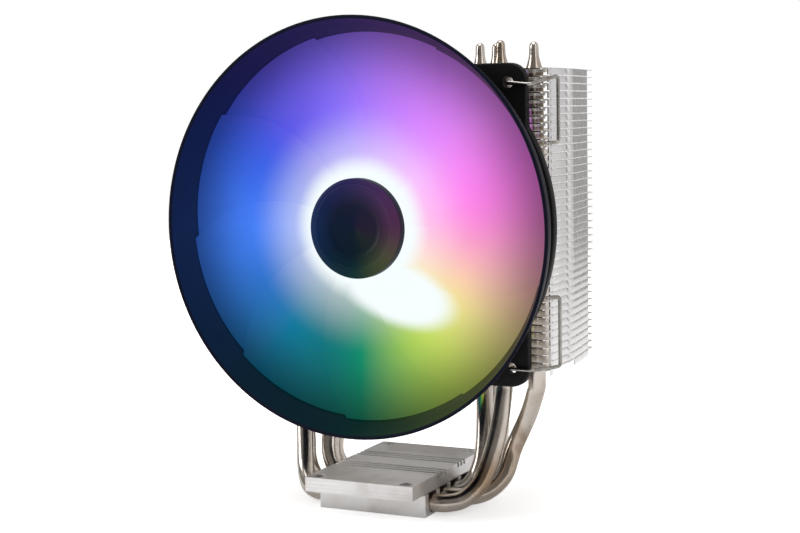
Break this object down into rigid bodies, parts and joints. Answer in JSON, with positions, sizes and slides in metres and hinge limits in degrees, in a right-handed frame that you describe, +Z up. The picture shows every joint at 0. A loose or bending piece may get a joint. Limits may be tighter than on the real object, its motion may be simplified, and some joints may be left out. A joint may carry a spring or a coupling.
{
  "type": "cpu tower cooler",
  "caption": "Tower cooler for a processor: grooved aluminium base, bent nickel-plated heat pipes, a stack of thin fins and a round-framed lit axial fan on wire clips",
  "frame": {"origin": "the centre of the base block's flat contact face, where it meets the processor", "axes": "+Z is up, away from the processor; +Y is the way the air blows, from the fan through the fins; +X is across, to the right as seen from the fan's front; the fan's front faces -Y"},
  "size_m": [0.136, 0.081, 0.1636],
  "materials": {
    "bare_aluminium": "bright rolled sheet, unpolished",
    "brushed_aluminium": "extruded and milled, fine lines",
    "nickel_plate": "nickel plating over copper, satin bright",
    "black_plastic": "moulded, fine satin grain",
    "gloss_black": "moulded, polished",
    "frosted_blade": "frosted translucent moulding lit from behind in many colours",
    "light_guide": "milky light guide, lit white",
    "spring_steel": "drawn and nickel-plated wire",
    "plated_steel": "zinc-plated",
    "ferrite": "sintered, dull",
    "bronze": "sintered bearing bronze",
    "silicon_steel": "stacked lamination",
    "copper_wire": "enamelled winding",
    "circuit_board": "solder-masked board"
  },
  "bodies": {
    "cooler": {"base_block": "brushed_aluminium", "base_plate": "brushed_aluminium", "bracket_nut_1": "plated_steel", "bracket_nut_2": "plated_steel", "bracket_nut_3": "plated_steel", "bracket_nut_4": "plated_steel", "heat_pipe_1": "nickel_plate", "heat_pipe_2": "nickel_plate", "heat_pipe_3": "nickel_plate", "heat_pipe_4": "nickel_plate", "fin_stack_01": "bare_aluminium", "fin_stack_02": "bare_aluminium", "fin_stack_03": "bare_aluminium", "fin_stack_04": "bare_aluminium", "fin_stack_05": "bare_aluminium", "fin_stack_06": "bare_aluminium", "fin_stack_07": "bare_aluminium", "fin_stack_08": "bare_aluminium", "fin_stack_09": "bare_aluminium", "fin_stack_10": "bare_aluminium", "fan_frame": "black_plastic", "rear_cap": "black_plastic", "bearing_sleeve": "bronze", "stator_core": "silicon_steel", "stator_coil_1": "copper_wire", "stator_coil_2": "copper_wire", "stator_coil_3": "copper_wire", "stator_coil_4": "copper_wire", "motor_board": "circuit_board", "led_board": "circuit_board", "light_ring": "light_guide"},
    "rotor": {"impeller": "frosted_blade", "hub_cap": "gloss_black", "rotor_yoke": "plated_steel", "rotor_magnet": "ferrite", "rotor_shaft": "plated_steel", "shaft_clip": "plated_steel"},
    "wire_clip_right_upper": {"wire_clip_right_upper": "spring_steel"},
    "wire_clip_right_lower": {"wire_clip_right_lower": "spring_steel"},
    "wire_clip_left_upper": {"wire_clip_left_upper": "spring_steel"},
    "wire_clip_left_lower": {"wire_clip_left_lower": "spring_steel"}
  },
  "joints": [
    {"name": "impeller_spin", "type": "hinge", "parent": "cooler", "child": "rotor", "pos_m": [0, -0.02, 0.0956], "axis": [0, -1, 0], "continuous": true},
    {"name": "wire_clip_right_upper_swing", "type": "hinge", "parent": "cooler", "child": "wire_clip_right_upper", "pos_m": [0.046, -0.00995, 0.1416], "axis": [0, 0, -1], "range_deg": [0, 20], "stiffness_Nm_per_rad": 0.05},
    {"name": "wire_clip_right_lower_swing", "type": "hinge", "parent": "cooler", "child": "wire_clip_right_lower", "pos_m": [0.046, -0.00995, 0.0496], "axis": [0, 0, -1], "range_deg": [0, 20], "stiffness_Nm_per_rad": 0.05},
    {"name": "wire_clip_left_upper_swing", "type": "hinge", "parent": "cooler", "child": "wire_clip_left_upper", "pos_m": [-0.046, -0.00995, 0.1416], "axis": [0, 0, 1], "range_deg": [0, 20], "stiffness_Nm_per_rad": 0.05},
    {"name": "wire_clip_left_lower_swing", "type": "hinge", "parent": "cooler", "child": "wire_clip_left_lower", "pos_m": [-0.046, -0.00995, 0.0496], "axis": [0, 0, 1], "range_deg": [0, 20], "stiffness_Nm_per_rad": 0.05}
  ]
}
